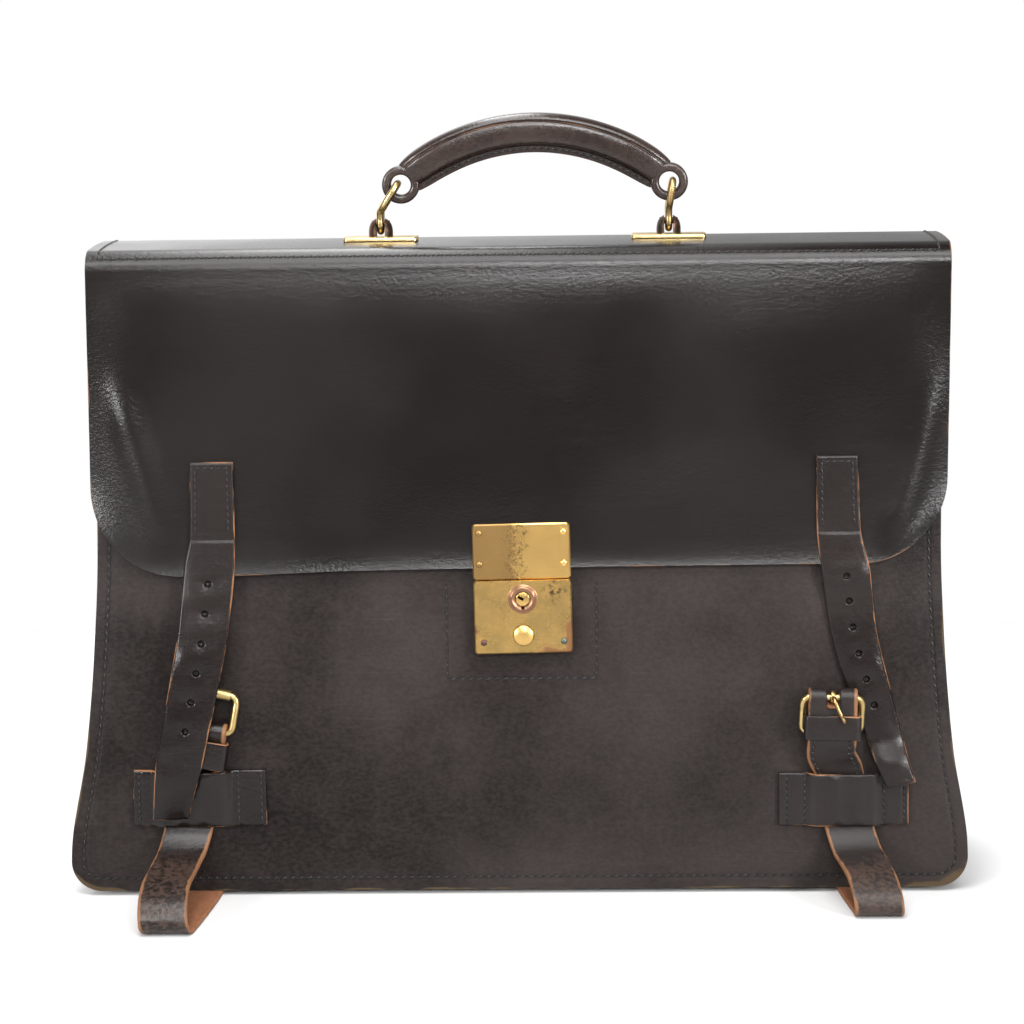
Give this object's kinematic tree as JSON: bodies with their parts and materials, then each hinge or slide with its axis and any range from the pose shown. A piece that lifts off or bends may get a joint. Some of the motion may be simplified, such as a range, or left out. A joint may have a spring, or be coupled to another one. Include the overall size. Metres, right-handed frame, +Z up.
{
  "type": "briefcase",
  "caption": "Worn dark leather briefcase with a wide flap, brass push lock, buckle straps held by sewn keepers and a swinging top handle.",
  "frame": {"origin": "On the floor, under the middle of the whole part's box.", "axes": "X runs along the case from its left to its right as seen from the front, Y runs from the front to the back, Z is up."},
  "size_m": [0.4304, 0.1697, 0.3697],
  "materials": {
    "body_leather": "near-black brown, worn semi-gloss",
    "strap_leather": "dark brown, worn tan at the edges",
    "handle_leather": "dark brown, polished by hand",
    "fitting_brass": "aged brass",
    "lock_brass": "polished brass, spotted with tarnish"
  },
  "bodies": {
    "case": {"front_panel": "body_leather", "gusset": "body_leather", "back_and_flap": "body_leather", "left_keeper_patch": "body_leather", "right_keeper_patch": "body_leather", "left_flap_strap": "strap_leather", "left_buckle_strap": "strap_leather", "left_keeper_loop": "strap_leather", "right_flap_strap": "strap_leather", "right_buckle_strap": "strap_leather", "right_keeper_loop": "strap_leather", "left_handle_plate": "fitting_brass", "left_buckle_frame": "fitting_brass", "left_prong": "fitting_brass", "right_handle_plate": "fitting_brass", "right_buckle_frame": "fitting_brass", "hasp_rivet_1": "fitting_brass", "hasp_rivet_2": "fitting_brass", "hasp_rivet_3": "fitting_brass", "hasp_rivet_4": "fitting_brass", "lock_rivet_left": "fitting_brass", "lock_rivet_right": "fitting_brass", "hasp_plate": "lock_brass", "lock_plate": "lock_brass", "lock_cylinder": "lock_brass"},
    "handle": {"handle_grip": "handle_leather", "left_bail": "fitting_brass", "right_bail": "fitting_brass"},
    "button": {"lock_button": "lock_brass"},
    "plug": {"key_plug": "fitting_brass"},
    "prong": {"right_prong": "fitting_brass"},
    "left_roller": {"left_buckle_roller": "fitting_brass"},
    "right_roller": {"right_buckle_roller": "fitting_brass"}
  },
  "joints": [
    {"name": "handle_swing", "type": "hinge", "parent": "case", "child": "handle", "pos_m": [0.0114, 0.03246, 0.3178], "axis": [1, 0, 0], "range_deg": [-85, 85]},
    {"name": "button_press", "type": "slide", "parent": "case", "child": "button", "axis": [0, 0.9976, -0.0698], "range_m": [0, 0.002], "stiffness_N_per_m": 200},
    {"name": "key_turn", "type": "hinge", "parent": "case", "child": "plug", "pos_m": [0.00408, -0.019, 0.14395], "axis": [0, 0.9976, -0.0698], "range_deg": [0, 90]},
    {"name": "right_prong_swing", "type": "hinge", "parent": "case", "child": "prong", "pos_m": [0.1502, -0.02482, 0.09661], "axis": [-0.9997, 0.0018, 0.0261], "range_deg": [0, 120]},
    {"name": "left_roller_spin", "type": "hinge", "parent": "case", "child": "left_roller", "pos_m": [-0.14634, -0.01867, 0.0999], "axis": [0.9854, -0.0119, -0.1698], "continuous": true},
    {"name": "right_roller_spin", "type": "hinge", "parent": "case", "child": "right_roller", "pos_m": [0.14974, -0.02016, 0.07865], "axis": [0.9997, -0.0018, -0.0261], "continuous": true}
  ]
}
